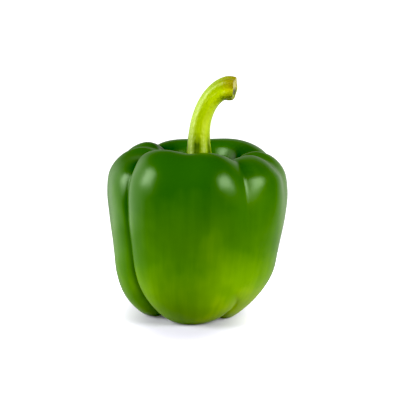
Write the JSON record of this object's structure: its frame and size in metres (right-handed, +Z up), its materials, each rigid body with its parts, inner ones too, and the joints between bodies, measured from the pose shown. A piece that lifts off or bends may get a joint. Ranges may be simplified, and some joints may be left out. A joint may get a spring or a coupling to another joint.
{
  "type": "bell pepper",
  "caption": "Whole green bell pepper, standing upright on the feet of its lobes, with its calyx and a bent, cut stem.",
  "frame": {"origin": "on the floor, under the middle of the fruit's widest outline", "axes": "+Z up along the fruit; the pictured side faces -Y; the stem bends towards +X"},
  "size_m": [0.0858, 0.0856, 0.1159],
  "materials": {
    "waxy_skin": "glossy",
    "green_stem": "satin"
  },
  "bodies": {
    "root": {"fruit": "waxy_skin", "stem_with_calyx": "green_stem"}
  },
  "joints": []
}
